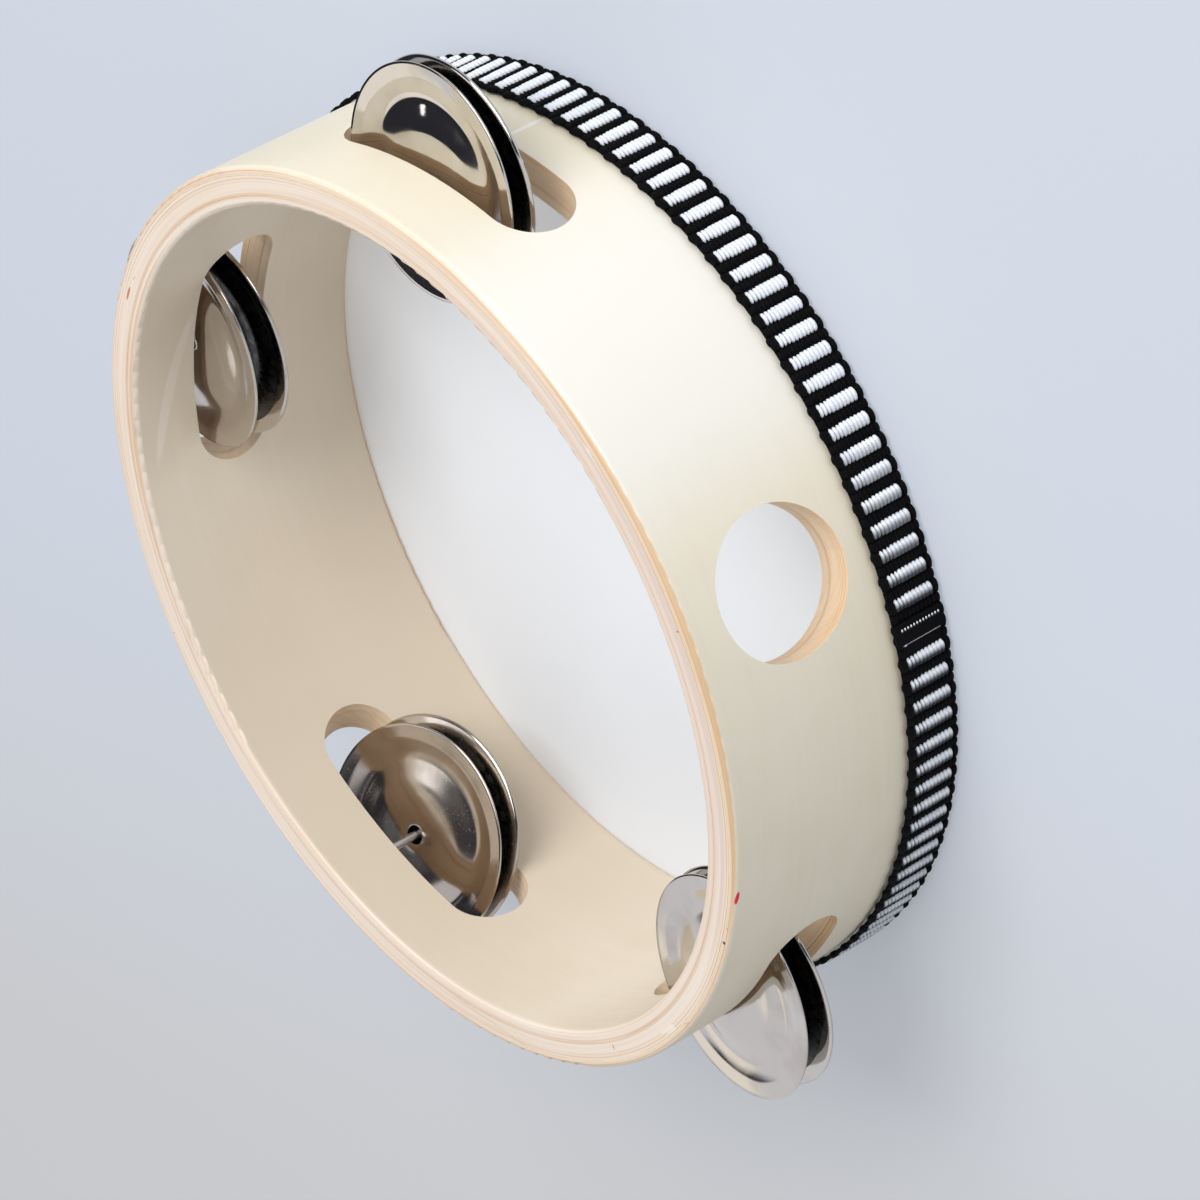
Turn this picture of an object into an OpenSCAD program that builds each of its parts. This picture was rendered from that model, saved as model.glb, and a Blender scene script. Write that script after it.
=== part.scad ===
// A small wooden tambourine: a laminated hoop with a glued head, a woven ribbon round the head edge,
// a thumb hole and four slots, each with a pair of stamped steel jingles on a pin.
// The head lies on z = 0, the hoop's axis is +Z and the thumb hole faces +X.

/* [Hoop] */
// Outside radius of the hoop
hoop_r = 75; // [72:0.5:90]
// Depth of the wooden hoop, from the head edge to the open rim
hoop_depth = 43; // [42:0.5:55]
// Thickness of the outer ply
outer_ply_t = 1.3; // [1.1:0.1:1.8]
// Thickness of the core ply, which holds the pins
core_ply_t = 3.1; // [3:0.1:4.5]
// Thickness of the inner ply
inner_ply_t = 1.8; // [1.2:0.1:2.6]
// Rounding of the hoop's outer and inner edges
edge_round = 0.9; // [0.4:0.1:1]

/* [Thumb hole] */
// Radius of the thumb hole
thumb_hole_r = 11.6; // [9:0.1:12]
// Distance from the open rim to the centre of the thumb hole
thumb_hole_drop = 18; // [16:0.5:19]

/* [Jingle slots] */
// Length of a slot round the hoop
slot_l = 46; // [44:0.5:50]
// Width of a slot along the hoop's axis
slot_w = 13.7; // [13:0.1:16]
// Distance from the open rim to the middle of the slots
slot_drop = 18.7; // [17:0.1:20]
// Angle of each slot from the thumb hole
slot_angles = [65.5, 143, 220.5, 294];

/* [Jingles] */
// Outside radius of a jingle
jingle_r = 18.5; // [17:0.1:19]
// Thickness of the sheet that a jingle is stamped from
jingle_t = 0.45; // [0.3:0.05:0.6]
// Depth of the dished ring below the flange
dish_depth = 1.05; // [0.6:0.05:1.2]
// Width of the flat flange round the edge
flange_w = 2.2; // [1.5:0.1:3]
// Width of the step between the flange and the dish
step_w = 0.7; // [0.5:0.1:1]
// Height of the rolled lip at the edge
lip_h = 0.15; // [0.05:0.05:0.3]
// Width of the rolled lip at the edge
lip_w = 0.5; // [0.3:0.1:0.8]
// Radius at which the raised centre meets the dish
boss_r = 7.2; // [6:0.1:8]
// Height of the raised centre above the flange
boss_h = 0.35; // [0.1:0.05:0.5]
// Radius of the hole in a jingle
jingle_hole_r = 1.6; // [1.4:0.05:1.7]

/* [Pins] */
// Radius of a pin
pin_r = 0.7; // [0.65:0.05:0.85]
// Depth to which a pin is driven past its slot
pin_bite = 5; // [3:0.5:7]
// Length of a pin's tapered tip
pin_tip_l = 1.8; // [1:0.1:2.5]
// Radius of a pin's head
pin_head_r = 1.3; // [1:0.05:1.35]
// Thickness of a pin's head
pin_head_t = 0.6; // [0.4:0.1:1]

/* [Head and ribbon] */
// Thickness of the head
head_t = 0.35; // [0.2:0.05:0.6]
// Height to which the head is turned up round the hoop
skirt_h = 8.5; // [6:0.5:9]
// Width of the ribbon
ribbon_w = 10; // [9.5:0.5:11]
// Thickness of the ribbon
ribbon_t = 0.75; // [0.5:0.05:1.2]
// Distance from the head's face to the ribbon
ribbon_inset = 0.3; // [0:0.1:0.6]
// Angle of the ribbon's glued end from the thumb hole
ribbon_end_angle = 348; // [0:1:359]
// Length over which the ribbon's end laps its start
ribbon_lap = 7; // [4:0.5:12]

/* [Hidden] */
$fn = 180;

// One overrun serves all cuts
overrun = 2;
// How much narrower the ribbon's lapped end is pressed, at each edge
lap_margin = 0.1;
// Width of the hairline where the ends of a ply meet
joint_gap = 0.12;
// Thickness of the glue between two bent layers
glue_t = 0.1;
// Gap between a pin and its bore
pin_clearance = 0.05;
// Least gap between the two jingles of a pair
pair_gap = 0.35;

// Inside radius of the outer ply, both radii of the core ply, and both of the inner ply
outer_in_r = hoop_r - outer_ply_t;
core_out_r = outer_in_r - glue_t;
core_in_r = core_out_r - core_ply_t;
inner_out_r = core_in_r - glue_t;
inner_r = inner_out_r - inner_ply_t;
pin_ring_r = (core_out_r + core_in_r) / 2;
// The hoop stands on the head
rim_z = head_t + hoop_depth;
slot_z = rim_z - slot_drop;
thumb_hole_z = rim_z - thumb_hole_drop;
pin_top_z = slot_z + slot_w / 2 + pin_bite;
// Inside and outside radius of the head's turned-up edge, then inside radius of the ribbon
skirt_in_r = hoop_r + glue_t;
skirt_r = skirt_in_r + head_t;
ribbon_r = skirt_r + glue_t;

// Where the ends of each ply meet, from the thumb hole
outer_joint_angle = 182;
core_joint_angle = 255;
inner_joint_angle = 108;
// The core's ends are scarfed: angle between the scarf and the tangent
scarf_angle = 10;

// How each pair hangs: the middle of the pair above the slot's middle, and its spare gap,
// both as shares of the slot's width
pair_place_shares = [[0.212, 0], [0.2, 0.05], [-0.085, 0], [0.2, 0]];
// How far each pair hangs off its pin, along the hoop's tangent and outwards, as shares of the play
pair_hang_shares = [[0.45, -0.5], [0, -0.65], [0, 0], [0, 0]];
// How each jingle leans, about the hoop's radius and about its tangent: upper, then lower
pair_leans = [
    [[0.8, 6], [0.8, 1.5]],
    [[-1, 3.5], [-1, -1]],
    [[1.5, -22.5], [1.5, -23.5]],
    [[0.5, -4], [0.5, 0]]
];

// The raised centre: share of the way from its crest to the dish, share of the fall
boss_shares = [[0, 0], [0.12, 0.03], [0.3, 0.16], [0.55, 0.45], [0.8, 0.8]];
// The dish: share of the way from the centre to the step, share of the dish's depth
dish_shares = [[0, 0.86], [0.14, 0.95], [0.32, 1], [0.5, 0.98], [0.68, 0.88], [0.84, 0.74], [1, 0.58]];

// Radii and heights along a jingle, from its hole to its lip
flange_in_r = jingle_r - flange_w;
step_in_r = flange_in_r - step_w;
crest_r = jingle_hole_r + 2 * jingle_t;
boss_fall = boss_h + dish_depth * dish_shares[0][1];
jingle_line = concat(
    [[jingle_hole_r, boss_h - lip_h]],
    [for (s = boss_shares) [crest_r + s[0] * (boss_r - crest_r), boss_h - s[1] * boss_fall]],
    [for (s = dish_shares) [boss_r + s[0] * (step_in_r - boss_r), -s[1] * dish_depth]],
    [[flange_in_r, 0], [jingle_r - lip_w, 0], [jingle_r, lip_h]]
);

// The outline of a sheet of thickness t that follows a line
function sheet(line, t) = concat(
    [for (p = line) [p[0], p[1] + t / 2]],
    [for (i = [len(line) - 1 : -1 : 0]) [line[i][0], line[i][1] - t / 2]]
);

// Height of a jingle over the middle of its slot: side is 1 for the upper and -1 for the lower
function jingle_rise(pair, side) =
    let (lean_gap = abs(pair_leans[pair][0][1] - pair_leans[pair][1][1]),
         lean_mean = (pair_leans[pair][0][1] + pair_leans[pair][1][1]) / 2,
         spread = sin(lean_gap) * (boss_r + step_in_r) / 2,
         nested = 2 * dish_depth + jingle_t,
         apart = nested + pair_gap + spread + pair_place_shares[pair][1] * slot_w)
    pair_place_shares[pair][0] * slot_w + side * apart / 2 / cos(lean_mean);

// Takes the square corner off a profile and leaves a quarter circle, with the wood up and to the right
// before it is turned
module edge_cut(r, z, cut_r, turn) {
    translate([r, z]) rotate(turn) difference() {
        translate([-overrun, -overrun]) square(cut_r + overrun);
        translate([cut_r, cut_r]) circle(r = cut_r);
    }
}

// A radial tool that goes right through the wall, at one angle and height
module through_wall(angle, z) {
    rotate([0, 0, angle]) translate([inner_r / 2, 0, z]) children();
}

module thumb_hole_cut() {
    through_wall(0, thumb_hole_z) rotate([0, 90, 0]) cylinder(r = thumb_hole_r, h = hoop_r);
}

// The slots have round ends and are cut straight through the wall
module slot_cuts() {
    for (angle = slot_angles) through_wall(angle, slot_z) {
        for (side = [-1, 1])
            translate([0, side * (slot_l - slot_w) / 2, 0])
                rotate([0, 90, 0]) cylinder(r = slot_w / 2, h = hoop_r);
        translate([0, -(slot_l - slot_w) / 2, -slot_w / 2]) cube([hoop_r, slot_l - slot_w, slot_w]);
    }
}

// A ply is a strip bent round almost a full turn, from one side of its joint to the other
module ply(r_in, r_out, joint_angle, gap) {
    gap_angle = gap / r_out * 180 / PI;
    difference() {
        rotate([0, 0, joint_angle + gap_angle / 2]) rotate_extrude(angle = 360 - gap_angle) difference() {
            translate([r_in, head_t]) square([r_out - r_in, hoop_depth]);
            children();
        }
        thumb_hole_cut();
        slot_cuts();
    }
}

// The core's slanted ends meet at a hairline
module scarf_cut() {
    cut_l = core_ply_t / sin(scarf_angle) + 2 * overrun;
    rotate([0, 0, core_joint_angle]) translate([pin_ring_r, 0, (head_t + rim_z) / 2])
        rotate([0, 0, 90 - scarf_angle]) cube([cut_l, joint_gap, 2 * hoop_depth], center = true);
}

module outer_ply() {
    color([0.95, 0.91, 0.82]) ply(outer_in_r, hoop_r, outer_joint_angle, joint_gap) {
        edge_cut(hoop_r, rim_z, edge_round, 180);
        edge_cut(hoop_r, head_t, edge_round, 90);
    }
}

module core_ply() {
    color([0.93, 0.82, 0.72]) difference() {
        ply(core_in_r, core_out_r, core_joint_angle, 0);
        scarf_cut();
        for (angle = slot_angles) pin_at(angle) {
            cylinder(r = pin_r + pin_clearance, h = pin_top_z + pin_clearance - head_t);
            translate([0, 0, -overrun])
                cylinder(r = pin_head_r + pin_clearance, h = pin_head_t + pin_clearance + overrun);
        }
    }
}

module inner_ply() {
    color([0.88, 0.8, 0.7]) ply(inner_r, inner_out_r, inner_joint_angle, joint_gap) {
        edge_cut(inner_r, rim_z, edge_round, 270);
        edge_cut(inner_r, head_t, edge_round, 0);
    }
}

// The head's whole section: flat under the hoop and turned up round its outside
module head_section() {
    difference() {
        square([skirt_r, head_t + skirt_h]);
        edge_cut(skirt_r, 0, edge_round + head_t, 90);
        difference() {
            translate([0, head_t]) square([skirt_in_r, skirt_h + overrun]);
            edge_cut(skirt_in_r, head_t, edge_round, 90);
        }
    }
}

module drumhead() {
    color([0.95, 0.95, 0.96]) rotate_extrude() intersection() {
        head_section();
        square([skirt_r, head_t]);
    }
}

module head_skirt() {
    color([0.93, 0.93, 0.94]) rotate_extrude() intersection() {
        head_section();
        translate([0, head_t]) square([skirt_r, skirt_h]);
    }
}

// One turn of ribbon, whose end is glued down over its start
module ribbon() {
    lap_angle = ribbon_lap / ribbon_r * 180 / PI;
    color([0.06, 0.06, 0.07]) {
        rotate_extrude() translate([ribbon_r, ribbon_inset]) square([ribbon_t, ribbon_w]);
        rotate([0, 0, ribbon_end_angle - lap_angle / 2])
            rotate_extrude(angle = lap_angle)
                translate([ribbon_r + ribbon_t / 2, ribbon_inset + lap_margin])
                    square([3 / 2 * ribbon_t, ribbon_w - 2 * lap_margin]);
    }
}

// What stands on the head edge of the core ply, at the ring of pins
module pin_at(angle) {
    rotate([0, 0, angle]) translate([pin_ring_r, 0, head_t]) children();
}

// A pin is driven in from the head edge, crosses the slot and ends in the wood past it
module pin(pair) {
    shank_l = pin_top_z - head_t - pin_tip_l;
    color([0.75, 0.75, 0.77]) pin_at(slot_angles[pair]) {
        cylinder(r = pin_r, h = shank_l);
        translate([0, 0, shank_l]) cylinder(r1 = pin_r, r2 = pin_r / 4, h = pin_tip_l);
        cylinder(r = pin_head_r, h = pin_head_t);
    }
}

// A jingle's dished face looks away from its mate
module jingle(pair, side) {
    lean = pair_leans[pair][side > 0 ? 0 : 1];
    hang = pair_hang_shares[pair] * (jingle_hole_r - pin_r);
    color([0.8, 0.8, 0.82]) rotate([0, 0, slot_angles[pair]])
        translate([pin_ring_r + hang[1], hang[0], slot_z + jingle_rise(pair, side)])
            rotate([lean[0], lean[1], 0]) rotate([side > 0 ? 0 : 180, 0, 0])
                rotate_extrude() polygon(sheet(jingle_line, jingle_t));
}

outer_ply();
core_ply();
inner_ply();
drumhead();
head_skirt();
ribbon();
pin(0);  // pin_1
pin(1);  // pin_2
pin(2);  // pin_3
pin(3);  // pin_4
jingle(0, 1);  // jingle_1_upper
jingle(0, -1);  // jingle_1_lower
jingle(1, 1);  // jingle_2_upper
jingle(1, -1);  // jingle_2_lower
jingle(2, 1);  // jingle_3_upper
jingle(2, -1);  // jingle_3_lower
jingle(3, 1);  // jingle_4_upper
jingle(3, -1);  // jingle_4_lower
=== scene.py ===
import bpy
import bmesh
import math
from mathutils import Matrix, Vector, noise


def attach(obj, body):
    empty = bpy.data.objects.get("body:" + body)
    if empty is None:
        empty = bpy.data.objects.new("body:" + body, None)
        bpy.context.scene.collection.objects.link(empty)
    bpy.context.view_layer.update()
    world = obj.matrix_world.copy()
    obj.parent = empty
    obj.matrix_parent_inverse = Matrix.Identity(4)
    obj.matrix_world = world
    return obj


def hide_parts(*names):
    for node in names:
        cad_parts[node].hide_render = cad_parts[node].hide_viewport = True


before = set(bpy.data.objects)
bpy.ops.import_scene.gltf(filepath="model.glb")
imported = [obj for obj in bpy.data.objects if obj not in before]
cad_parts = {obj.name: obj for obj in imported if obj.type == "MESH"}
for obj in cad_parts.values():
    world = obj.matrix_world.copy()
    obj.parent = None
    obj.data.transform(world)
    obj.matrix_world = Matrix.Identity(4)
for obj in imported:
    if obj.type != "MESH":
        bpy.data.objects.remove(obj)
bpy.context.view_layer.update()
mm = 0.001
weldDistance = 0.004 * mm
print("frame loaded:", len(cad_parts), "nodes")

# sizes shared by several pieces, as the CAD part has them
hoop = {
    "rimHeight": 43.35 * mm, "pinRing": 72.05 * mm,
    "slotHeight": 24.65 * mm, "slotWidth": 13.7 * mm, "slotAngles": (65.5, 143, 220.5, 294),
}
rimZ = hoop["rimHeight"]


# helpers for materials: each takes the node tree that it adds to

def addNode(tree, kind, links=None, **settings):
    # links: socket name or number -> value, or the output socket that feeds it
    node = tree.nodes.new(kind)
    for key, value in settings.items():
        setattr(node, key, value)
    for key, value in (links or {}).items():
        if isinstance(value, bpy.types.NodeSocket):
            tree.links.new(value, node.inputs[key])
        else:
            node.inputs[key].default_value = value
    return node


def mathNode(tree, operation, first, second=0.0, third=0.0, clamp=False):
    links = {0: first, 1: second, 2: third}
    return addNode(tree, "ShaderNodeMath", links, operation=operation, use_clamp=clamp).outputs[0]


def weighted(tree, first, firstShare, second, secondShare):
    # the sum of two values, each times its share
    return mathNode(tree, "ADD", mathNode(tree, "MULTIPLY", first, firstShare),
                    mathNode(tree, "MULTIPLY", second, secondShare))


def vectorNode(tree, operation, first, second=(0.0, 0.0, 0.0)):
    node = addNode(tree, "ShaderNodeVectorMath", {0: first, 1: second}, operation=operation)
    return node.outputs["Value" if operation in ("DOT_PRODUCT", "LENGTH") else "Vector"]


def mapRange(tree, value, low, high, toLow=0.0, toHigh=1.0):
    links = {0: value, 1: low, 2: high, 3: toLow, 4: toHigh}
    return addNode(tree, "ShaderNodeMapRange", links, interpolation_type="SMOOTHSTEP").outputs[0]


def mixColor(tree, share, first, second, blend="MIX"):
    links = {0: share, 6: first, 7: second}
    return addNode(tree, "ShaderNodeMix", links, data_type="RGBA", blend_type=blend).outputs[2]


def mixShader(tree, share, first, second):
    return addNode(tree, "ShaderNodeMixShader", {0: share, 1: first, 2: second}).outputs[0]


def noiseNode(tree, vector, scale, detail=3.0, roughness=0.5):
    links = {"Vector": vector, "Scale": scale, "Detail": detail, "Roughness": roughness}
    return addNode(tree, "ShaderNodeTexNoise", links).outputs["Fac"]


def bumpNode(tree, height, strength, distance):
    links = {"Height": height, "Strength": strength, "Distance": distance}
    return addNode(tree, "ShaderNodeBump", links).outputs["Normal"]


def objectPlace(tree):
    return addNode(tree, "ShaderNodeTexCoord").outputs["Object"]


def split(tree, vector):
    return addNode(tree, "ShaderNodeSeparateXYZ", {0: vector}).outputs


def towards(degrees):
    # the direction of an angle round the hoop
    return (math.cos(math.radians(degrees)), math.sin(math.radians(degrees)), 0)


def rgb(red, green, blue):
    # a colour as it looks on screen, turned to the linear one that Blender mixes
    def linear(level):
        level = level / 255
        return level / 12.92 if level <= 0.04045 else ((level + 0.055) / 1.055) ** 2.4
    return (linear(red), linear(green), linear(blue), 1.0)


def newMaterial(name, **sockets):
    # sockets of the shader that hold one value, with _ for the spaces in their names
    material = bpy.data.materials.new(name)
    material.use_nodes = True
    shader = material.node_tree.nodes["Principled BSDF"]
    for key, value in sockets.items():
        shader.inputs[key.replace("_", " ")].default_value = value
    return material, material.node_tree


def feed(material, **sockets):
    # sockets of the shader that a node feeds
    shader = material.node_tree.nodes["Principled BSDF"]
    for key, output in sockets.items():
        material.node_tree.links.new(output, shader.inputs[key.replace("_", " ")])


def paint(node, material):
    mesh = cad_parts[node].data
    mesh.materials.clear()
    mesh.materials.append(material)


# helpers for pieces

def outlineEdges(mesh, section):
    # a closed outline beside the hoop's axis, from its radii and heights
    corners = [mesh.verts.new((radius, 0, height)) for radius, height in section]
    edges = [mesh.edges.new((corners[i], corners[(i + 1) % len(corners)])) for i in range(len(corners))]
    return corners, edges


def spinRound(mesh, geometry, angle, steps, **options):
    bmesh.ops.spin(mesh, geom=geometry, cent=(0, 0, 0), axis=(0, 0, 1), angle=angle, steps=steps, **options)


def weld(mesh):
    bmesh.ops.remove_doubles(mesh, verts=mesh.verts, dist=weldDistance)
    bmesh.ops.recalc_face_normals(mesh, faces=mesh.faces)


def turnMesh(mesh, degrees, axis):
    matrix = Matrix.Rotation(math.radians(degrees), 3, axis)
    bmesh.ops.rotate(mesh, verts=mesh.verts, cent=(0, 0, 0), matrix=matrix)


def makeObject(mesh, name, materials):
    made = bpy.data.meshes.new(name)
    mesh.to_mesh(made)
    mesh.free()
    for material in materials:
        made.materials.append(material)
    piece = bpy.data.objects.new(name, made)
    bpy.context.scene.collection.objects.link(piece)
    return piece


def finishPiece(mesh, name, materials, body, smooth=True):
    piece = makeObject(mesh, name, materials)
    for face in piece.data.polygons:
        face.use_smooth = smooth
    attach(piece, body)
    return piece


def bentStrip(name, heights, radii, angles, steps, material):
    # a strip bent round the hoop; heights, radii and angles are from and to; a full turn closes on itself
    (low, high), (inner, outer), (startAngle, endAngle) = heights, radii, angles
    mesh = bmesh.new()
    closed = endAngle - startAngle >= 360
    corners, edges = outlineEdges(mesh, ((inner, low), (outer, low), (outer, high), (inner, high)))
    if not closed:
        mesh.faces.new(corners)
    spinRound(mesh, edges, math.radians(endAngle - startAngle), steps, use_merge=closed)
    if not closed:
        bmesh.ops.contextual_create(mesh, geom=[edge for edge in mesh.edges if edge.is_boundary])
    weld(mesh)
    turnMesh(mesh, startAngle, "Z")
    return finishPiece(mesh, name, (material,), "hoop", smooth=False)


# camera

view = {
    "lens": 169.12, "sensor": 36, "place": (0.727289, 0.199221, 0.446308),
    "right": (0.554255, -0.337888, -0.760679), "up": (-0.014097, 0.909956, -0.414466),
    "back": (0.832227, 0.240443, 0.499585),
}
cameraData = bpy.data.cameras.new("camera")
cameraData.lens = view["lens"]
cameraData.sensor_width = view["sensor"]
camera = bpy.data.objects.new("camera", cameraData)
bpy.context.scene.collection.objects.link(camera)
turn = Matrix((view["right"], view["up"], view["back"])).transposed()
camera.matrix_world = Matrix.Translation(view["place"]) @ turn.to_4x4()
bpy.context.scene.camera = camera
bpy.context.scene.view_settings.view_transform = "Standard"
print("camera placed")

# studio: floor, sky and one soft lamp

studio = {
    "floorSize": 6.0, "floorDrop": 0.05 * mm, "floorRoughness": 0.7, "floorOwnLight": 0.45,
    # painted shade: the floor is greyer and a little darker towards -Y, standing in for a soft shadow there,
    # and bluer away from it
    "floorShadedNear": rgb(212, 213, 216), "floorFar": rgb(212, 219, 231),
    "floorShownShadedNear": rgb(208, 209, 212), "floorShownFar": rgb(211, 218, 229),
    "floorTurn": (0.1, 1, 0), "floorFade": (-0.17, 0.0),
    "skyLight": (0.95, 0.97, 1.0, 1.0), "skyStrength": 0.48, "skyShown": rgb(212, 219, 230),
    "keyPlace": (0.62, 1.0, 1.15), "keySize": 1.2, "keyPower": 21.9, "keyColor": (1.0, 0.985, 0.96),
    "mirrorStrength": 1.15, "roomPale": rgb(214, 214, 219), "roomDark": rgb(44, 44, 50),
    "roomSplit": (-0.07, 0.0), "roomHorizon": (0.12, 0.2),
    # bright panels that the metal mirrors: direction, degrees across, soft edge in degrees, colour
    "panels": (
        ((-0.75, -0.16, 0.645), 17, 4, rgb(248, 242, 233)),
        ((-0.41, 0.20, 0.89), 7, 2, rgb(226, 228, 230)),
        ((-0.32, 0.455, 0.83), 17, 4, (1.6, 1.62, 1.65, 1)),
        ((-0.708, 0.237, 0.665), 2.2, 0.6, (1.5, 1.5, 1.5, 1)),
    ),
}


def floorMaterial():
    material, tree = newMaterial("paleFloor", Roughness=studio["floorRoughness"])
    # painted shade: greyer and a little darker towards -Y, as a soft shadow
    across = vectorNode(tree, "DOT_PRODUCT", objectPlace(tree), studio["floorTurn"])
    share = mapRange(tree, across, *studio["floorFade"])
    feed(material, Base_Color=mixColor(tree, share, studio["floorShadedNear"], studio["floorFar"]))
    # some of the floor's brightness is its own, for the camera only, so that it stays pale; it keeps the
    # painted shade towards -Y
    own = mixColor(tree, share, studio["floorShownShadedNear"], studio["floorShownFar"])
    glow = addNode(tree, "ShaderNodeEmission", {0: own, 1: 1.0}).outputs[0]
    cameraRay = addNode(tree, "ShaderNodeLightPath").outputs["Is Camera Ray"]
    seen = mathNode(tree, "MULTIPLY", cameraRay, studio["floorOwnLight"])
    both = mixShader(tree, seen, tree.nodes["Principled BSDF"].outputs[0], glow)
    tree.links.new(both, tree.nodes["Material Output"].inputs["Surface"])
    return material


def makeFloor():
    mesh = bmesh.new()
    bmesh.ops.create_grid(mesh, x_segments=1, y_segments=1, size=studio["floorSize"] / 2)
    bmesh.ops.translate(mesh, verts=mesh.verts, vec=(0, 0, -studio["floorDrop"]))
    floor = makeObject(mesh, "floor", (floorMaterial(),))


def makeSky():
    world = bpy.data.worlds.new("sky")
    bpy.context.scene.world = world
    world.use_nodes = True
    tree = world.node_tree
    tree.nodes.clear()
    out = tree.nodes.new("ShaderNodeOutputWorld")

    def background(color, strength):
        return addNode(tree, "ShaderNodeBackground", {0: color, 1: strength}).outputs[0]
    # what the metal mirrors: a room that is pale on one side and dim on the other, with bright panels in it
    toward = addNode(tree, "ShaderNodeTexCoord").outputs["Generated"]
    sides = split(tree, toward)
    dark = mathNode(tree, "MULTIPLY", mapRange(tree, sides["Y"], *studio["roomSplit"]),
                    mapRange(tree, sides["Z"], *studio["roomHorizon"]))
    room = mixColor(tree, dark, studio["roomPale"], studio["roomDark"])
    for direction, across, edge, color in studio["panels"]:
        nearness = vectorNode(tree, "DOT_PRODUCT", toward, Vector(direction).normalized())
        outer = math.cos(math.radians(across / 2 + edge / 2))
        inner = math.cos(math.radians(across / 2 - edge / 2))
        room = mixColor(tree, mapRange(tree, nearness, outer, inner), room, color)
    path = addNode(tree, "ShaderNodeLightPath").outputs
    lit = mixShader(tree, path["Is Glossy Ray"], background(studio["skyLight"], studio["skyStrength"]),
                    background(room, studio["mirrorStrength"]))
    final = mixShader(tree, path["Is Camera Ray"], lit, background(studio["skyShown"], 1.0))
    tree.links.new(final, out.inputs["Surface"])


def makeKey():
    data = bpy.data.lights.new("softKey", "AREA")
    data.size = studio["keySize"]
    data.energy = studio["keyPower"]
    data.color = studio["keyColor"]
    key = bpy.data.objects.new("softKey", data)
    bpy.context.scene.collection.objects.link(key)
    place = Vector(studio["keyPlace"])
    key.matrix_world = Matrix.Translation(place) @ place.to_track_quat("Z", "Y").to_matrix().to_4x4()


makeFloor()
makeSky()
makeKey()
print("studio lit")

# wood of the hoop

veneer = {
    # lines: radius and half width in millimetres, strength; paintedStretch: angle of the hoop, from and to
    # nearness, for painted highlight on the outer veneer and painted shade on the inner one; low: from and to
    # height, share, for painted shade
    "outer": {
        "wall": rgb(245, 235, 212), "wallDark": rgb(238, 225, 198),
        "cut": rgb(249, 231, 211), "cutDark": rgb(236, 208, 178), "roughness": 0.42,
        "lines": ((74.35, 0.07, 0.75), (74.0, 0.05, 0.4)),
        # painted highlight: a paler stretch round 32°, where the lacquer catches the lamp, and partly a paler
        # tone of the veneer
        "paintedStretch": (32, 0.9, 0.995), "paintedStretchColor": rgb(250, 247, 238),
    },
    "core": {
        "wall": rgb(238, 222, 202), "wallDark": rgb(226, 204, 178),
        "cut": rgb(248, 235, 222), "cutDark": rgb(237, 213, 189), "roughness": 0.5,
        "lines": ((73.1, 0.09, 0.5), (72.6, 0.08, 0.25), (70.7, 0.11, 0.5)),
    },
    "inner": {
        "wall": rgb(238, 226, 207), "wallDark": rgb(229, 214, 192),
        "cut": rgb(248, 236, 224), "cutDark": rgb(236, 214, 191), "roughness": 0.5,
        "lines": ((70.25, 0.09, 0.45), (69.1, 0.06, 0.3)),
        # painted shade: a darker, yellower stretch round 214° and towards the head, where the inner wall lies
        # in shade
        "paintedStretch": (214, 0.6, 0.99), "paintedStretchColor": rgb(212, 198, 178), "low": (26 * mm, 4 * mm, 0.35),
    },
    # grain: scale along the strip and across it, detail, roughness
    "fineGrain": (26, 1500, 4.0, 0.6), "broadGrain": (14, 190, 3.0, 0.5), "clouds": (38, 2.0),
    "fineShare": 0.45, "broadShare": 0.55, "grainShare": 0.35, "cloudShare": 0.65,
    "darkSpan": (0.38, 0.72), "wallDarkest": 0.85, "paintedStretchShare": 0.8, "wallFacing": (0.72, 0.95),
    "waver": 0.35 * mm, "lineFade": (0.3, 0.55, 0.35, 1.0), "lineFoot": 2.2, "lineTop": 0.4,
    "shineSpan": (0.3, 0.7), "shineChange": (-0.05, 0.09), "bump": (0.12, 0.12 * mm),
    "glueColor": rgb(222, 172, 118), "slotTint": rgb(249, 238, 218), "slotTintDepth": (4 * mm, 7 * mm),
    "rimMarkDepth": 0.8 * mm, "markEdge": (1.15, 0.55), "brokenSpan": (0.5, 0.56),
}


def hoopPlace(tree):
    # where a point is, its distance from the axis, and how squarely its face looks along that distance
    coords = addNode(tree, "ShaderNodeTexCoord").outputs
    parts = split(tree, coords["Object"])
    flat = addNode(tree, "ShaderNodeCombineXYZ", {0: parts["X"], 1: parts["Y"], 2: 0.0}).outputs[0]
    radial = vectorNode(tree, "NORMALIZE", flat)
    facing = mathNode(tree, "ABSOLUTE", vectorNode(tree, "DOT_PRODUCT", coords["Normal"], radial))
    return {"object": coords["Object"], "x": parts["X"], "y": parts["Y"], "z": parts["Z"],
            "radius": vectorNode(tree, "LENGTH", flat), "radial": radial, "facing": facing}


def grainNoise(tree, at, along, across, detail, roughness=0.5):
    # slow round the hoop, fast across the strip: over its width on the wall, over its thickness on the rim
    third = mathNode(tree, "MULTIPLY", mathNode(tree, "ADD", at["z"], at["radius"]), across)
    first, second = [mathNode(tree, "MULTIPLY", at[axis], along) for axis in ("x", "y")]
    place = addNode(tree, "ShaderNodeCombineXYZ", {0: first, 1: second, 2: third}).outputs[0]
    return noiseNode(tree, place, 1.0, detail, roughness)


def turnedPair(tree, first, second, degrees):
    # two coordinates of a plane after a turn
    c, s = math.cos(math.radians(degrees)), math.sin(math.radians(degrees))
    return weighted(tree, first, c, second, s), weighted(tree, second, c, first, -s)


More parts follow.
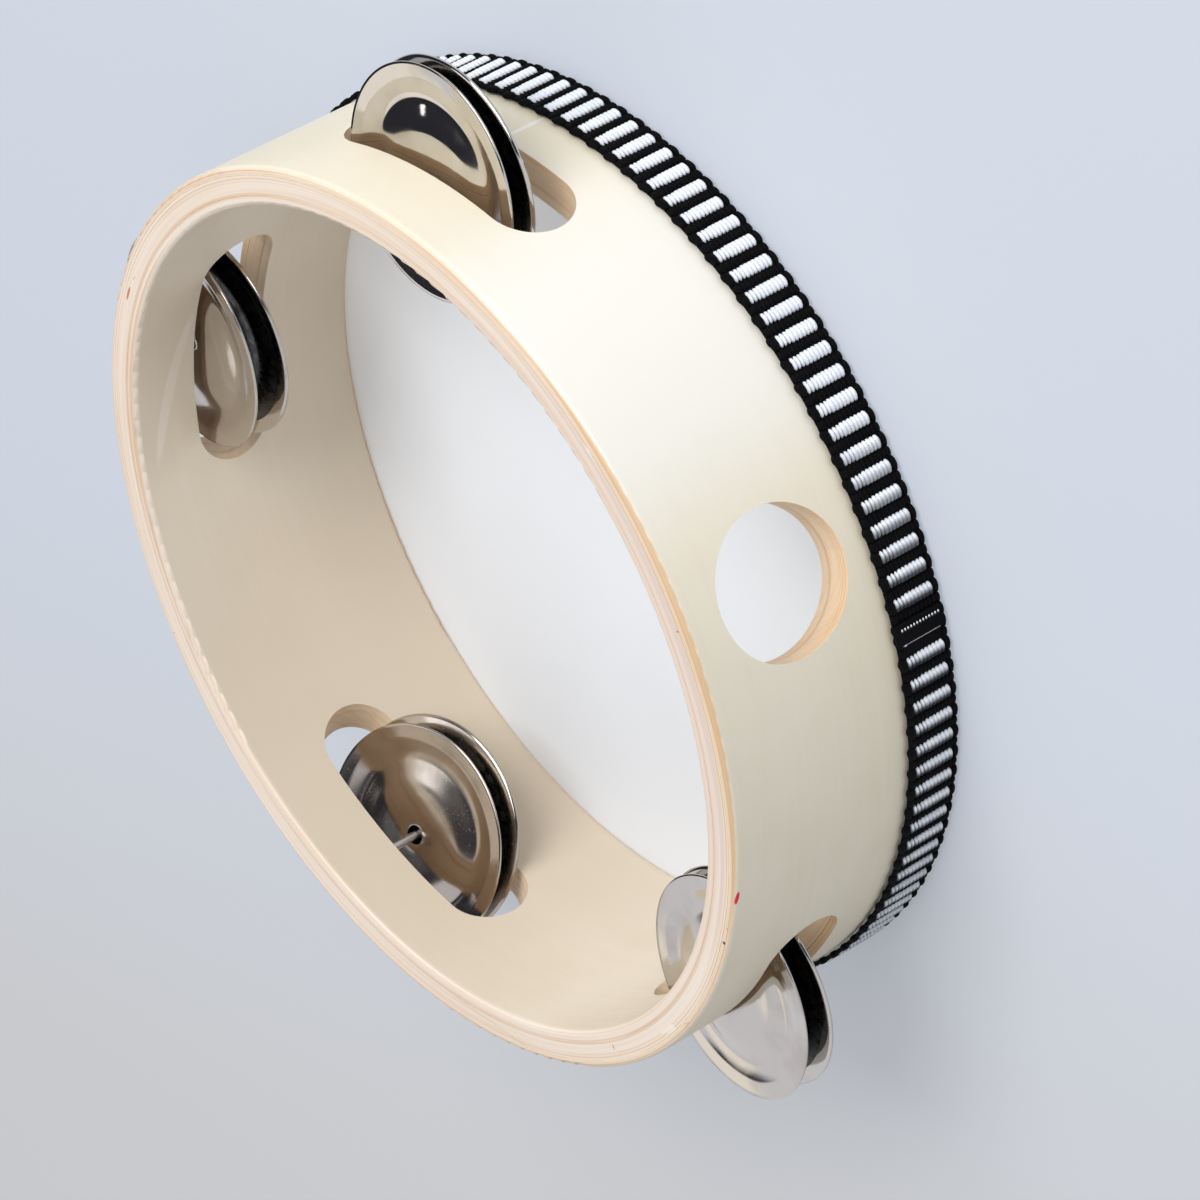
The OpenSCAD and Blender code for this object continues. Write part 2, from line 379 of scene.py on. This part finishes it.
def spot(tree, at, mark):
    # an oval at one angle of the hoop, at one height on the wall or one radius on the rim
    front, side = turnedPair(tree, at["x"], at["y"], mark["angle"])
    rise = mathNode(tree, "SUBTRACT", at["radius"] if mark["onRim"] else at["z"], mark["level"])
    u, v = turnedPair(tree, side, rise, mark["lean"])
    u = mathNode(tree, "POWER", mathNode(tree, "DIVIDE", u, mark["length"] / 2), 2.0)
    v = mathNode(tree, "POWER", mathNode(tree, "DIVIDE", v, mark["width"] / 2), 2.0)
    inside = mapRange(tree, mathNode(tree, "ADD", u, v), *veneer["markEdge"])
    if mark["onRim"]:
        high = mathNode(tree, "GREATER_THAN", at["z"], rimZ - veneer["rimMarkDepth"])
        inside = mathNode(tree, "MULTIPLY", inside, high)
    return mathNode(tree, "MULTIPLY", inside, mathNode(tree, "GREATER_THAN", front, 0.0))


def rimMark(angle, radius, length, width, color, strength, lean=0.0, broken=False):
    # a mark on the open rim, in degrees and millimetres; a broken one shows only in some of the grain
    return {"angle": angle, "level": radius * mm, "length": length * mm, "width": width * mm,
            "color": color, "strength": strength, "lean": lean, "broken": broken, "onRim": True}


def wallMark(angle, down, *shape, **options):
    # the same on a wall, placed by how far it lies under the rim
    return {**rimMark(angle, 0.0, *shape, **options), "level": rimZ - down * mm, "onRim": False}


def cutWood(tree, look, at, grain, broad, cloud):
    # the rim and the insides of the slots and the hole
    cut = mixColor(tree, mapRange(tree, grain, *veneer["darkSpan"]), look["cut"], look["cutDark"])
    # inside the slots and the hole the cut is browner than on the sanded rim
    shallow, deep = veneer["slotTintDepth"]
    inSlot = mapRange(tree, at["z"], rimZ - shallow, rimZ - deep)
    cut = mixColor(tree, inSlot, cut, veneer["slotTint"], "MULTIPLY")
    # glue lines of the thin layers, wavering a little and fading here and there
    waver = mathNode(tree, "MULTIPLY", mathNode(tree, "SUBTRACT", broad, 0.5), veneer["waver"])
    layer = mathNode(tree, "ADD", at["radius"], waver)
    fade = mapRange(tree, cloud, *veneer["lineFade"])
    for radius, halfWidth, strength in look["lines"]:
        off = mathNode(tree, "ABSOLUTE", mathNode(tree, "SUBTRACT", layer, radius * mm))
        foot, top = veneer["lineFoot"] * halfWidth * mm, veneer["lineTop"] * halfWidth * mm
        line = mathNode(tree, "MULTIPLY", mapRange(tree, off, foot, top, 0.0, strength), fade)
        cut = mixColor(tree, line, cut, veneer["glueColor"])
    return cut


def wallWood(tree, look, at, grain, cloud):
    figure = weighted(tree, grain, veneer["grainShare"], cloud, veneer["cloudShare"])
    darkness = mapRange(tree, figure, *veneer["darkSpan"], 0.0, veneer["wallDarkest"])
    wall = mixColor(tree, darkness, look["wall"], look["wallDark"])
    if "paintedStretch" in look:   # a stretch of another tone, centred on one angle: painted highlight on the outer veneer, painted shade on the inner one
        angle, far, near = look["paintedStretch"]
        nearness = vectorNode(tree, "DOT_PRODUCT", at["radial"], towards(angle))
        share = mapRange(tree, nearness, far, near, 0.0, veneer["paintedStretchShare"])
        wall = mixColor(tree, share, wall, look["paintedStretchColor"])
    if "low" in look:   # painted shade: the same darker tone deepens towards the head, down inside the drum
        high, low, share = look["low"]
        wall = mixColor(tree, mapRange(tree, at["z"], high, low, 0.0, share), wall, look["paintedStretchColor"])
    return wall


def woodMaterial(name, look, marks):
    material, tree = newMaterial(name)
    at = hoopPlace(tree)
    fine = grainNoise(tree, at, *veneer["fineGrain"])
    broad = grainNoise(tree, at, *veneer["broadGrain"])
    cloud = noiseNode(tree, at["object"], *veneer["clouds"])
    grain = weighted(tree, fine, veneer["fineShare"], broad, veneer["broadShare"])
    cut = cutWood(tree, look, at, grain, broad, cloud)
    wall = wallWood(tree, look, at, grain, cloud)
    color = mixColor(tree, mapRange(tree, at["facing"], *veneer["wallFacing"]), cut, wall)
    for mark in marks:
        mask = spot(tree, at, mark)
        if mark["broken"]:
            mask = mathNode(tree, "MULTIPLY", mask, mapRange(tree, fine, *veneer["brokenSpan"]))
        color = mixColor(tree, mathNode(tree, "MULTIPLY", mask, mark["strength"]), color, mark["color"])
    low, high = [look["roughness"] + change for change in veneer["shineChange"]]
    feed(material, Base_Color=color, Roughness=mapRange(tree, grain, *veneer["shineSpan"], low, high),
         Normal=bumpNode(tree, fine, *veneer["bump"]))
    return material


resin = rgb(196, 118, 58)
pinkTan = rgb(236, 214, 198)
outerMarks = (
    rimMark(0, 74.5, 96, 0.9, rgb(216, 174, 122), 0.7),
    wallMark(64, 30, 0.9, 9, rgb(252, 250, 244), 0.8),   # a pale seam under slot 1
    wallMark(62, 33, 1.6, 1.2, rgb(196, 176, 150), 0.6, broken=True),
    wallMark(325.7, 0.65, 2.6, 0.65, rgb(232, 22, 40), 1.0, lean=-10),   # a red tick under the rim
    rimMark(318, 74.15, 0.65, 0.6, rgb(92, 48, 24), 1.0),
    rimMark(320.5, 74.2, 0.3, 0.3, resin, 0.7),
    rimMark(300, 74.2, 2.2, 0.35, resin, 0.45, lean=20, broken=True),
)
coreMarks = (
    rimMark(0, 70.3, 120, 3.6, pinkTan, 0.6),
    rimMark(356, 72.25, 104, 1.3, rgb(222, 205, 196), 0.7),
    rimMark(0, 73.2, 96, 0.4, rgb(222, 184, 140), 0.7),
    rimMark(129, 72.4, 3.6, 0.5, resin, 0.9),
    rimMark(125.5, 72.1, 1.2, 0.3, resin, 0.4, lean=8),
    rimMark(22.5, 72.2, 4.5, 2.4, rgb(255, 248, 236), 0.9, broken=True),
    rimMark(295, 72.6, 6, 1.6, rgb(255, 246, 234), 0.7, lean=12, broken=True),
    rimMark(281, 71.6, 0.3, 1.1, rgb(150, 92, 52), 0.7, lean=12),
    rimMark(0.5, 72.9, 0.35, 0.5, rgb(120, 70, 40), 0.8),
)
innerMarks = (
    rimMark(0, 70.3, 120, 3.6, pinkTan, 0.6),
    rimMark(150, 69.5, 90, 0.7, rgb(218, 180, 134), 0.6),
    wallMark(146.5, 7.2, 30, 2.3, rgb(248, 238, 224), 0.7, lean=16),   # a pale ray beside slot 2
)
paint("outer_ply", woodMaterial("outerVeneer", veneer["outer"], outerMarks))
paint("core_ply", woodMaterial("coreWood", veneer["core"], coreMarks))
paint("inner_ply", woodMaterial("innerVeneer", veneer["inner"], innerMarks))

glue = {
    "outerLine": (73.605 * mm, 73.695 * mm), "innerLine": (70.405 * mm, 70.495 * mm), "steps": 240,
    "depth": 5.4 * mm, "underRim": 0.05 * mm, "roughness": 0.5, "color": rgb(226, 184, 138),
    "grain": (60, 300, 2.0), "colorSpan": (0.35, 0.65),
}


def makeGlueLine(name, radii):
    # the dried glue that closes the seam between two strips, seen as a fine line on the rim
    material, tree = newMaterial(name + "Glue", Roughness=glue["roughness"])
    share = mapRange(tree, grainNoise(tree, hoopPlace(tree), *glue["grain"]), *glue["colorSpan"])
    feed(material, Base_Color=mixColor(tree, share, glue["color"], veneer["core"]["cut"]))
    heights = (rimZ - glue["depth"], rimZ - glue["underRim"])
    return bentStrip(name, heights, radii, (0, 360), glue["steps"], material)


makeGlueLine("outerGlueLine", glue["outerLine"])
makeGlueLine("innerGlueLine", glue["innerLine"])
print("wood done")

# head

head = {
    # painted light: glow is light that the film gives off of itself, with nothing behind it; paintedShade is
    # a darker film colour where the lamp falls
    "color": rgb(236, 240, 246), "paintedShade": rgb(214, 218, 225), "glow": 0.14, "glowColor": rgb(250, 252, 255),
    "fibres": (900, 3.0, 0.7), "fibreShare": 0.1, "clouds": (30, 3.0), "shadeEdgeReach": 30 * mm,
    "shadeTurn": 0.55, "shadeFade": (0.045, -0.045), "shine": (0.3, 0.7, 0.44, 0.6), "bump": (0.15, 0.3 * mm),
}


def headMaterial():
    # painted light: the film glows of itself
    material, tree = newMaterial("headFilm", Emission_Strength=head["glow"], Emission_Color=head["glowColor"])
    place = objectPlace(tree)
    fibres = noiseNode(tree, place, *head["fibres"])
    cloud = noiseNode(tree, place, *head["clouds"])
    # painted light and shade: the film is darker towards -X and -Y, where the lamp falls, and lighter on the
    # side that the wall shades; the noise makes the edge wander
    parts = split(tree, place)
    across = mathNode(tree, "MULTIPLY_ADD", parts["X"], head["shadeTurn"], parts["Y"])
    across = mathNode(tree, "MULTIPLY_ADD", cloud, head["shadeEdgeReach"], across)
    paintedShade = mapRange(tree, across, *head["shadeFade"])
    waves = mathNode(tree, "ADD", mathNode(tree, "MULTIPLY", fibres, head["fibreShare"]), cloud)
    feed(material, Base_Color=mixColor(tree, paintedShade, head["color"], head["paintedShade"]),
         Roughness=mapRange(tree, cloud, *head["shine"]), Normal=bumpNode(tree, waves, *head["bump"]))
    return material


filmMaterial = headMaterial()
paint("drumhead", filmMaterial)
paint("head_skirt", filmMaterial)
print("head done")

# pins

pin = {
    "dark": (0.5, 0.49, 0.48, 1), "bright": (0.72, 0.71, 0.7, 1), "stretch": (1800, 1800, 60),
    "shine": (0.2, 0.8, 0.2, 0.42), "bump": (0.2, 0.03 * mm),
}


def steelMaterial():
    # drawn wire, with fine streaks along it
    material, tree = newMaterial("pinSteel", Metallic=1.0)
    links = {"Vector": objectPlace(tree), "Scale": pin["stretch"]}
    drawn = noiseNode(tree, addNode(tree, "ShaderNodeMapping", links).outputs[0], 1.0, 3.0)
    feed(material, Base_Color=mixColor(tree, drawn, pin["dark"], pin["bright"]),
         Roughness=mapRange(tree, drawn, *pin["shine"]), Normal=bumpNode(tree, drawn, *pin["bump"]))
    return material


pinMaterial = steelMaterial()
for number in range(1, 5):
    paint(f"pin_{number}", pinMaterial)
print("pins done")

# jingles, in millimetres

jingle = {
    "radius": 18.5, "sheet": 0.45, "holeRadius": 1.6, "pinRadius": 0.7, "dishDepth": 1.05, "flange": 2.2,
    "bossRadius": 7.2, "bossHeight": 0.35, "lipHeight": 0.15, "lipWidth": 0.5, "pairGap": 0.35,
    # points of the stamped section: along each stretch, and down from the crest to the bottom of the dish
    "bossShares": ((0, 0), (0.4, 0.0), (0.75, 0.008), (0.92, 0.018)),
    "dishShares": ((0, 0.03), (0.11, 0.07), (0.22, 0.15), (0.33, 0.285), (0.44, 0.45), (0.54, 0.605),
                   (0.6, 0.67), (0.65, 0.68), (0.715, 0.65), (0.8, 0.55), (0.89, 0.42), (0.95, 0.325),
                   (1, 0.265)),
    "easeSteps": 3, "turns": 144, "lipNose": 0.5, "lipAngles": (60, 0, -60), "strikeTilt": -0.05,
    "dishEnd": 15.6,
    # for each pair: place along the pin and extra gap, in slot widths
    "placeShares": ((0.212, 0), (0.2, 0.05), (-0.085, 0), (0.2, 0)),
    # for each pair: how it hangs on its pin, sideways and outwards, as shares of its play
    "hangShares": ((0.45, -0.5), (0, -0.65), (0, 0), (0, 0)),
    # for each pair: how the upper and the lower disc lean, in degrees about X and Y
    "leans": (((0.8, 6), (0.8, 1.5)), ((-1, 3.5), (-1, -1)), ((1.5, -22.5), (1.5, -23.5)),
              ((0.5, -4), (0.5, 0))),
}
nickel = {
    "bright": (0.66, 0.635, 0.6, 1), "tarnished": (0.43, 0.37, 0.32, 1), "smear": (120, 3.0),
    "tarnishShares": (0, 0.6, 1, 0.15), "tarnishMost": 0.6, "tarnishSpan": (0.45, 0.75, 0, 0.4),
    # roughness where it is smoothest and roughest, and what full tarnish adds to each
    "shineSpan": (0.35, 0.7), "smoothest": (0.05, 0.08), "roughest": (0.12, 0.1),
    "specks": (2600, 2.0, 0.7), "speckSpan": (0.62, 0.75, 0.0, 0.15), "speckShare": 0.04,
    "bump": (0.25, 0.12 * mm),
}
# painted shade for the gap between the discs of a pair, mottled a little by a noise
strike = {
    "dark": (0.035, 0.035, 0.038, 1), "pale": (0.13, 0.125, 0.12, 1), "paintedShadeTone": (700, 3.0, 0.7),
    "shine": (0.3, 0.7, 0.2, 0.42),
}


def jingleLine():
    # the stamped section from the hole to the lip, eased between the die's points
    j = jingle
    crest, depth = j["bossHeight"], j["bossHeight"] + j["dishDepth"]
    points = [Vector((j["holeRadius"], crest - j["lipHeight"]))]
    for start, end, shares in ((j["holeRadius"] + 2 * j["sheet"], j["bossRadius"], j["bossShares"]),
                               (j["bossRadius"], j["radius"] - j["flange"], j["dishShares"])):
        points += [Vector((start + along * (end - start), crest - down * depth)) for along, down in shares]
    eased = []
    for index in range(len(points) - 1):
        before, start = points[max(index - 1, 0)], points[index]
        end, after = points[index + 1], points[min(index + 2, len(points) - 1)]
        bend = 2 * before - 5 * start + 4 * end - after
        twist = 3 * start - before - 3 * end + after
        for step in range(j["easeSteps"]):
            t = step / j["easeSteps"]
            eased.append(0.5 * (2 * start + (end - before) * t + bend * t ** 2 + twist * t ** 3))
    lip = Vector((j["radius"] - j["lipWidth"], 0)), Vector((j["radius"], j["lipHeight"]))
    return [*eased, points[-1], *lip]


def plateOutline(line):
    # the section with the plate's thickness: along one side, round the lip and back along the other
    half, nose, lip = jingle["sheet"] / 2, jingle["sheet"] / 2 * jingle["lipNose"], line[-1]
    corners = [p + Vector((0, half)) for p in line[:-1]]
    for angle in jingle["lipAngles"]:
        x, y, _ = towards(angle)
        corners.append(Vector((lip.x + nose * x - nose, lip.y + half * y)))
    corners += [p - Vector((0, half)) for p in reversed(line[:-1])]
    return [(p.x * mm, p.y * mm) for p in corners]


def jingleRise(pair, side):
    # height of a jingle over the middle of its slot, worked out as the part does
    upper, lower = jingle["leans"][pair]
    along, extra = jingle["placeShares"][pair]
    slotWidth = hoop["slotWidth"] / mm
    spread = math.sin(math.radians(abs(upper[1] - lower[1]))) * (jingle["bossRadius"] + jingle["dishEnd"]) / 2
    apart = 2 * jingle["dishDepth"] + jingle["sheet"] + jingle["pairGap"] + spread + extra * slotWidth
    return along * slotWidth + side * apart / 2 / math.cos(math.radians((upper[1] + lower[1]) / 2))


def nickelMaterial(name, seed, tarnishShare):
    material, tree = newMaterial(name, Metallic=1.0)
    links = {"Vector": objectPlace(tree), "Location": (seed, 0, 0)}
    moved = addNode(tree, "ShaderNodeMapping", links).outputs[0]
    smear = noiseNode(tree, moved, *nickel["smear"])
    specks = noiseNode(tree, moved, *nickel["specks"])
    patches = mapRange(tree, smear, *nickel["tarnishSpan"])
    tarnish = mathNode(tree, "ADD", patches, tarnishShare * nickel["tarnishMost"], clamp=True)
    low, high = [base + more * tarnishShare for base, more in (nickel["smoothest"], nickel["roughest"])]
    rough = mathNode(tree, "ADD", mapRange(tree, smear, *nickel["shineSpan"], low, high),
                     mapRange(tree, specks, *nickel["speckSpan"]))
    ripple = mathNode(tree, "ADD", smear, mathNode(tree, "MULTIPLY", specks, nickel["speckShare"]))
    feed(material, Base_Color=mixColor(tree, tarnish, nickel["bright"], nickel["tarnished"]),
         Roughness=rough, Normal=bumpNode(tree, ripple, *nickel["bump"]))
    return material


def shadedStrikeSideMaterial():
    # painted shade: the faces that strike each other are dark, mottled a little, for the shade in the narrow
    # gap between the discs of a pair
    material, tree = newMaterial("shadedStrikeSide", Metallic=1.0)
    paintedShadeTone = noiseNode(tree, objectPlace(tree), *strike["paintedShadeTone"])
    feed(material, Base_Color=mixColor(tree, paintedShadeTone, strike["dark"], strike["pale"]),
         Roughness=mapRange(tree, paintedShadeTone, *strike["shine"]))
    return material


def makeJingle(pair, side, outline, outerMaterial, shadedStrikeMaterial):
    which = "upper" if side > 0 else "lower"
    node = f"jingle_{pair + 1}_{which}"
    mesh = bmesh.new()
    edges = outlineEdges(mesh, outline)[1]
    spinRound(mesh, edges, 2 * math.pi, jingle["turns"], use_merge=True)
    weld(mesh)
    strikeRadius = (jingle["radius"] - jingle["flange"]) * mm
    for face in mesh.faces:   # the side that strikes the mate, inside the flange, has the second material, painted shade of the gap
        middle = face.calc_center_median()
        if face.normal.z < jingle["strikeTilt"] and math.hypot(middle.x, middle.y) < strikeRadius:
            face.material_index = 1
    leanX, leanY = jingle["leans"][pair][0 if side > 0 else 1]
    if side < 0:
        turnMesh(mesh, 180, "X")
    turnMesh(mesh, leanX, "X")
    turnMesh(mesh, leanY, "Y")
    sideways, outwards = [share * (jingle["holeRadius"] - jingle["pinRadius"]) * mm
                          for share in jingle["hangShares"][pair]]
    height = hoop["slotHeight"] + jingleRise(pair, side) * mm
    bmesh.ops.translate(mesh, verts=mesh.verts, vec=(hoop["pinRing"] + outwards, sideways, height))
    turnMesh(mesh, hoop["slotAngles"][pair], "Z")
    name = f"jingle{pair + 1}{which.capitalize()}"
    piece = finishPiece(mesh, name, (outerMaterial, shadedStrikeMaterial), node + "_disc")
    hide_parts(node)


shadedStrikeSide = shadedStrikeSideMaterial()
stampedOutline = plateOutline(jingleLine())
for pair in range(4):
    for side, letter in ((1, "a"), (-1, "b")):
        seed = 0.3 * pair + 0.1 * side
        plated = nickelMaterial(f"nickel{pair + 1}{letter}", seed, nickel["tarnishShares"][pair])
        makeJingle(pair, side, stampedOutline, plated, shadedStrikeSide)
print("jingles done")

# ribbon

ribbon = {
    "inside": 75.55 * mm, "low": 0.3 * mm, "width": 10 * mm, "backing": 0.2 * mm, "skin": 0.02 * mm,
    "bars": 123, "seamShare": 1.45, "barShift": -0.1 * mm, "barLength": 2.3 * mm, "barRise": 0.72 * mm,
    "threads": 10, "looseThreads": 3, "threadSpan": 7.1 * mm, "threadSides": 10, "threadRings": 5,
    # threads of a bar, as shares: length, width, rise
    "looseThread": (0.92, 0.98, 0.94), "pressedThread": (1, 1.5, 1),
    "grooveStep": 0.8 * mm, "grooveLength": 1.5 * mm, "grooveRise": 0.36 * mm, "grooveShare": 1.1,
    "rimYarn": 1.5 * mm, "headYarn": 1.0 * mm,
    # lumps of the edge yarn: share inwards, turn in pitches, length, share of the width, share of the rise
    "rimLumps": ((0.62, 0.0, 2.5 * mm, 1.0, 0.8), (0.3, 0.12, 1.7 * mm, 0.62, 0.62),
                 (0.62, 0.5, 1.6 * mm, 0.8, 0.55)),
    "headLumps": ((0.5, 0.0, 2.6 * mm, 1.0, 0.8), (0.62, 0.5, 1.9 * mm, 1.0, 0.55)),
    # how far the strips stay inside the edges, at the head and at the rim
    "groundInset": (0.3 * mm, 0.35 * mm), "lapInset": (0.4 * mm, 0.6 * mm), "cutInset": (1.2 * mm, 1.0 * mm),
    "lapRise": 0.5 * mm, "thinBarAngle": 348.5, "cutAngle": 346.8, "lapOverrun": 0.9,
    "cutSpan": (-0.07, 0.02), "cutDepth": 0.16 * mm, "cutRise": 0.02 * mm,
    "groundSteps": 360, "lapSteps": 8, "cutSteps": 2,
}
thinBar = {
    "threads": 13, "stray": 0.006, "length": 1.1 * mm, "width": 0.5 * mm, "rise": 0.2 * mm,
    "knotDown": 1.3 * mm, "knotTurn": -0.002, "knotLength": 0.7 * mm, "knotWidth": 0.8 * mm,
    "knotRise": 0.15 * mm,
}
yarn = {
    "black": rgb(3, 3, 6), "blackWorn": rgb(13, 12, 14), "blackRoughness": 0.8, "blackSheen": 0.0,
    "white": rgb(250, 252, 255), "whiteWorn": rgb(228, 233, 244), "whiteRoughness": 0.55, "whiteSheen": 0.05,
    "sheenRoughness": 0.4, "specular": 0.12, "fluff": (2600, 2.0, 0.7), "fluffShare": 0.6,
    "shade": (160, 2.0), "shadeShare": 0.4, "wornSpan": (0.35, 0.7), "bump": (0.4, 0.08 * mm),
    # painted shade: dark grey on the side of each white rib that faces towards smaller angles, away from the
    # lamp, most of all round one angle of the hoop
    "paintedShadeTone": rgb(48, 50, 57), "paintedShadeToneAngle": 325, "paintedShadeToneNearness": (0.6, 0.93), "paintedShadeToneSide": (-0.5, 0.3),
}


# painted shade: how much dark grey a white rib takes on, from the side its face turns to and its angle round
# the hoop
def paintedShadeToneShare(tree, place):
    normal = addNode(tree, "ShaderNodeTexCoord").outputs["Normal"]
    radial = vectorNode(tree, "NORMALIZE", vectorNode(tree, "MULTIPLY", place, (1, 1, 0)))
    side = vectorNode(tree, "DOT_PRODUCT", normal, vectorNode(tree, "CROSS_PRODUCT", radial, (0, 0, 1)))
    near = vectorNode(tree, "DOT_PRODUCT", radial, towards(yarn["paintedShadeToneAngle"]))
    return mathNode(tree, "MULTIPLY", mapRange(tree, side, *yarn["paintedShadeToneSide"]),
                    mapRange(tree, near, *yarn["paintedShadeToneNearness"]))


def clothMaterial(tone, withPaintedShade=False):
    material, tree = newMaterial(
        tone + "Yarn", Roughness=yarn[tone + "Roughness"], Sheen_Weight=yarn[tone + "Sheen"],
        Sheen_Roughness=yarn["sheenRoughness"], Specular_IOR_Level=yarn["specular"])
    place = objectPlace(tree)
    fluff = noiseNode(tree, place, *yarn["fluff"])
    shade = noiseNode(tree, place, *yarn["shade"])
    share = weighted(tree, fluff, yarn["fluffShare"], shade, yarn["shadeShare"])
    color = mixColor(tree, mapRange(tree, share, *yarn["wornSpan"]), yarn[tone], yarn[tone + "Worn"])
    # painted shade on one side of the white ribs
    if withPaintedShade:
        color = mixColor(tree, paintedShadeToneShare(tree, place), color, yarn["paintedShadeTone"])
    feed(material, Base_Color=color, Normal=bumpNode(tree, fluff, *yarn["bump"]))
    return material


blackYarn = clothMaterial("black")
whiteYarn = clothMaterial("white", withPaintedShade=True)
pitchTurn = 2 * math.pi / (ribbon["bars"] - 1 + ribbon["seamShare"])
ribbonTop = ribbon["inside"] + ribbon["backing"]
ribbonMiddle = ribbon["low"] + ribbon["width"] / 2
ribbonHigh = ribbon["low"] + ribbon["width"]


def addThread(mesh, height, turnBy, length, width, rise):
    # one float of yarn lying round the hoop and bulging outwards; turnBy, in radians, places it in its pitch
    size = Matrix.Diagonal((rise, length / 2, width / 2, 1))
    place = Matrix.Rotation(turnBy, 4, "Z") @ Matrix.Translation((ribbonTop, 0, height)) @ size
    bmesh.ops.create_uvsphere(mesh, u_segments=ribbon["threadSides"], v_segments=ribbon["threadRings"],
                              radius=1, matrix=place)


def addBar(mesh):
    # the white floats over one rib: those nearest the rim lie apart, the others are pressed together
    step = ribbon["threadSpan"] / ribbon["threads"]
    for index in range(ribbon["threads"]):
        height = ribbonMiddle + ribbon["barShift"] + (index - (ribbon["threads"] - 1) / 2) * step
        loose = index >= ribbon["threads"] - ribbon["looseThreads"]
        length, width, rise = ribbon["looseThread" if loose else "pressedThread"]
        addThread(mesh, height, 0.0, ribbon["barLength"] * length, step * width, ribbon["barRise"] * rise)


def addGroove(mesh):
    # black weft between two bars
    step = ribbon["grooveStep"]
    low = ribbon["low"] + ribbon["headYarn"]
    for index in range(int((ribbon["width"] - ribbon["rimYarn"] - ribbon["headYarn"]) / step) + 1):
        addThread(mesh, low + (index + 0.5) * step, pitchTurn / 2, ribbon["grooveLength"],
                  step * ribbon["grooveShare"], ribbon["grooveRise"])


def addEdges(mesh):
    # twisted yarn along both edges: one big lump to each pitch, and smaller ones beside it
    for lumps, edge, inwards, size in (("rimLumps", ribbonHigh, -1, ribbon["rimYarn"]),
                                       ("headLumps", ribbon["low"], 1, ribbon["headYarn"])):
        for inward, turnShare, length, width, rise in ribbon[lumps]:
            addThread(mesh, edge + inwards * size * inward, pitchTurn * turnShare, length, size * width,
                      ribbon["barRise"] * rise)


def addThinBar(mesh):
    # the thin, loose bar on the lapped end, and a knot of yarn at its cut edge
    for index in range(thinBar["threads"]):
        up = (index / (thinBar["threads"] - 1) - 0.5) * ribbon["threadSpan"]
        stray = noise.noise(Vector((index, 3, 5))) * thinBar["stray"]
        addThread(mesh, ribbonMiddle + ribbon["barShift"] + up, stray, thinBar["length"], thinBar["width"],
                  ribbon["lapRise"] + thinBar["rise"])
    knotTurn = math.radians(ribbon["cutAngle"] - ribbon["thinBarAngle"]) + thinBar["knotTurn"]
    addThread(mesh, ribbonHigh - ribbon["groundInset"][1] - thinBar["knotDown"], knotTurn,
              thinBar["knotLength"], thinBar["knotWidth"], ribbon["lapRise"] + thinBar["knotRise"])


def wovenPiece(name, addPitch, material, count, startAngle):
    # one pitch of yarn, turned to its first place and repeated round the hoop
    mesh = bmesh.new()
    addPitch(mesh)
    turnMesh(mesh, startAngle, "Z")
    if count > 1:
        geometry = mesh.verts[:] + mesh.edges[:] + mesh.faces[:]
        spinRound(mesh, geometry, pitchTurn * (count - 1), count - 1, use_duplicate=True)
    bmesh.ops.recalc_face_normals(mesh, faces=mesh.faces)
    return finishPiece(mesh, name, (material,), "hoop")


def makeRibbon():
    low, high = ribbon["low"] + ribbon["groundInset"][0], ribbonHigh - ribbon["groundInset"][1]

    def between(inset):
        return low + ribbon[inset][0], high - ribbon[inset][1]
    ground = bentStrip("ribbonGround", (low, high), (ribbon["inside"] + ribbon["skin"], ribbonTop), (0, 360),
                       ribbon["groundSteps"], blackYarn)
    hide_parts("ribbon")
    thinAngle, cutAngle, bars = ribbon["thinBarAngle"], ribbon["cutAngle"], ribbon["bars"]
    # the thin bar lies on the cut end, between the last bar and the first
    pieces = [wovenPiece("ribbonBars", addBar, whiteYarn, bars - 1, thinAngle + math.degrees(pitchTurn)),
              wovenPiece("ribbonGrooves", addGroove, blackYarn, bars - 1, thinAngle),
              wovenPiece("ribbonEdges", addEdges, blackYarn, bars + 1, thinAngle)]
    top = ribbonTop + ribbon["lapRise"]
    lap = bentStrip("ribbonLap", between("lapInset"), (ribbonTop, top),
                    (cutAngle, thinAngle + ribbon["lapOverrun"]), ribbon["lapSteps"], blackYarn)
    cut = bentStrip("ribbonCutEdge", between("cutInset"), (top - ribbon["cutDepth"], top + ribbon["cutRise"]),
                    [cutAngle + share for share in ribbon["cutSpan"]], ribbon["cutSteps"], whiteYarn)
    return ground, pieces + [lap, cut, wovenPiece("ribbonThinBar", addThinBar, whiteYarn, 1, thinAngle)]


ground, ribbonPieces = makeRibbon()
print("ribbon done")
